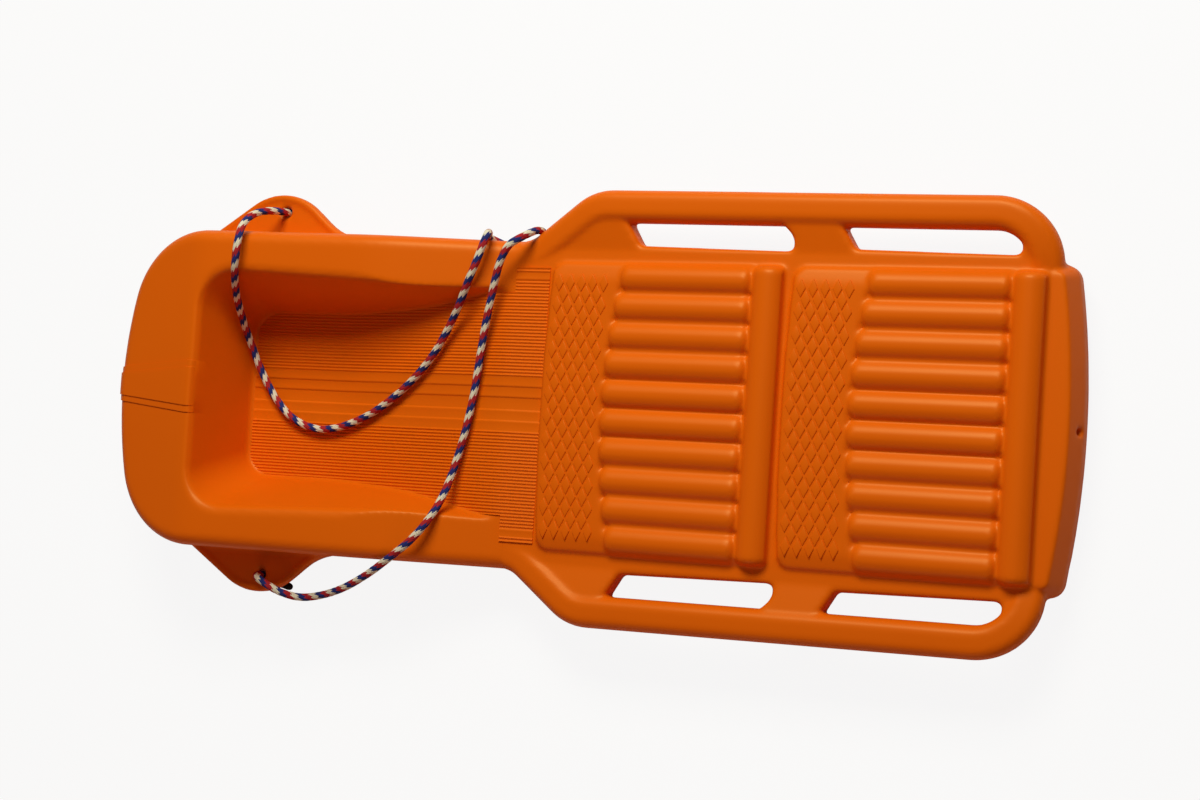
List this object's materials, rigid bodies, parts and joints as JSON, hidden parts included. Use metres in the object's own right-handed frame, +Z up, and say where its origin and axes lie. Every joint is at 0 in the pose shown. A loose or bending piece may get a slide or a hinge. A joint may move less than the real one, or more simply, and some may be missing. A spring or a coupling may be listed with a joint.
{
  "type": "two-rider snow sled",
  "caption": "Blow-moulded plastic snow sled with an upswept nose, ribbed foot well, twin ribbed seats, slotted hand rails and a braided tow rope.",
  "frame": {"origin": "on the ground, under the middle of the sled's box", "axes": "+X towards the nose, +Y to the riders' left, +Z up"},
  "size_m": [1.2226, 0.5178, 0.1521],
  "materials": {
    "moulding": "satin orange polyethylene",
    "tow_rope": "braided polypropylene, white with red and blue"
  },
  "bodies": {
    "root": {"front_hull": "moulding", "rear_deck": "moulding", "left_grip_rail": "moulding", "right_grip_rail": "moulding", "left_tow_ear": "moulding", "right_tow_ear": "moulding", "nose_crest": "moulding", "foot_tread": "moulding", "centre_runner": "moulding", "left_runner": "moulding", "right_runner": "moulding", "front_seat_pad": "moulding", "front_seat_ribs": "moulding", "front_seat_roll": "moulding", "rear_seat_pad": "moulding", "rear_seat_ribs": "moulding", "rear_seat_roll": "moulding", "tow_rope": "tow_rope", "left_rope_knot": "tow_rope", "right_rope_knot": "tow_rope"}
  },
  "joints": []
}
